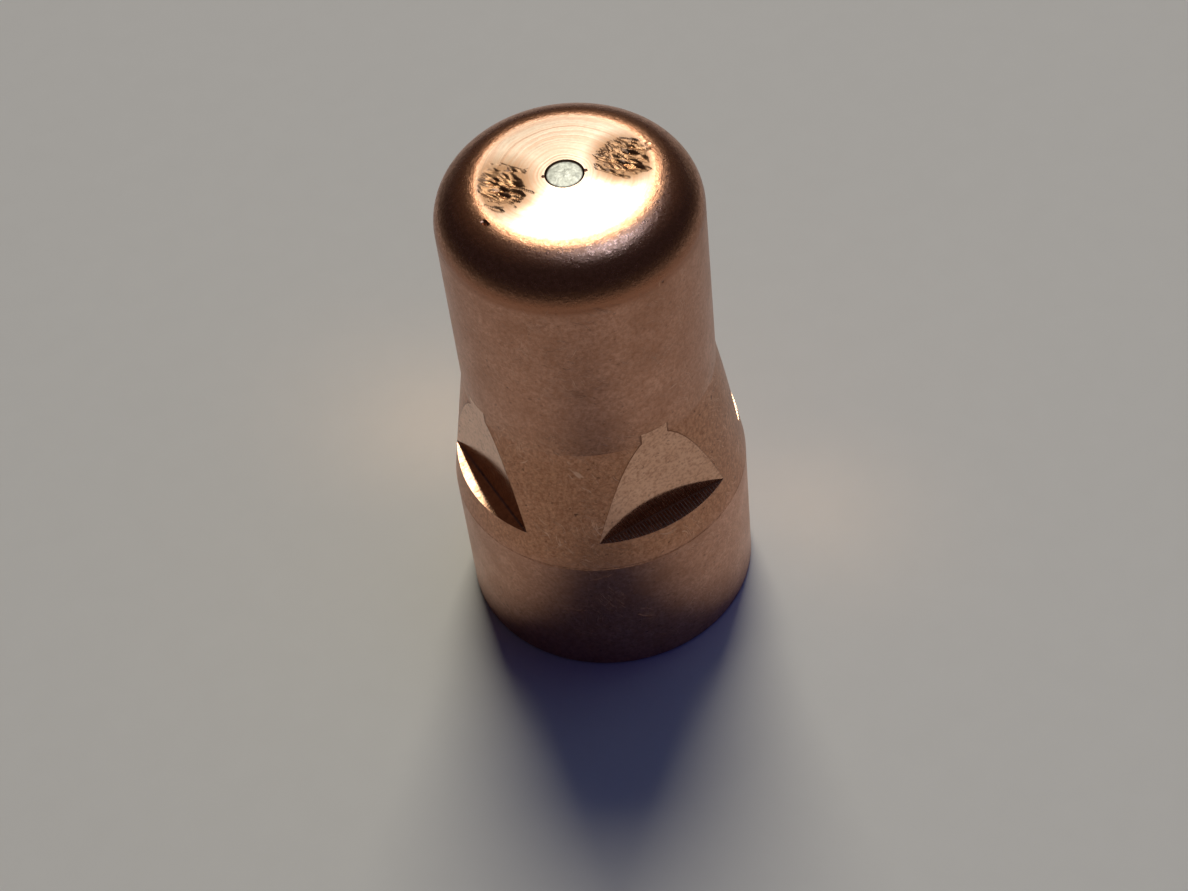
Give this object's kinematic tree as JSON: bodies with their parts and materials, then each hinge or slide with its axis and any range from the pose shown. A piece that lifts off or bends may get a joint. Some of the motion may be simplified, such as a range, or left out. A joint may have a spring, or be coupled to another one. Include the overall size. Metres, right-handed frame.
{
  "type": "plasma torch electrode",
  "caption": "Hollow copper electrode for a plasma cutting torch: rounded nose with a pressed-in hafnium emitter, straight front, tapered shoulder with milled flats and a plain rear skirt.",
  "frame": {"origin": "centre of the open rear face, which it stands on", "axes": "+Z along the electrode's axis, towards the nose and its emitter; one milled flat faces each of +X, -X, +Y and -Y"},
  "size_m": [0.0152, 0.0152, 0.0286],
  "materials": {
    "copper": "satin",
    "hafnium": "matte"
  },
  "bodies": {
    "root": {"electrode_body": "copper", "emitter_insert": "hafnium"}
  },
  "joints": []
}
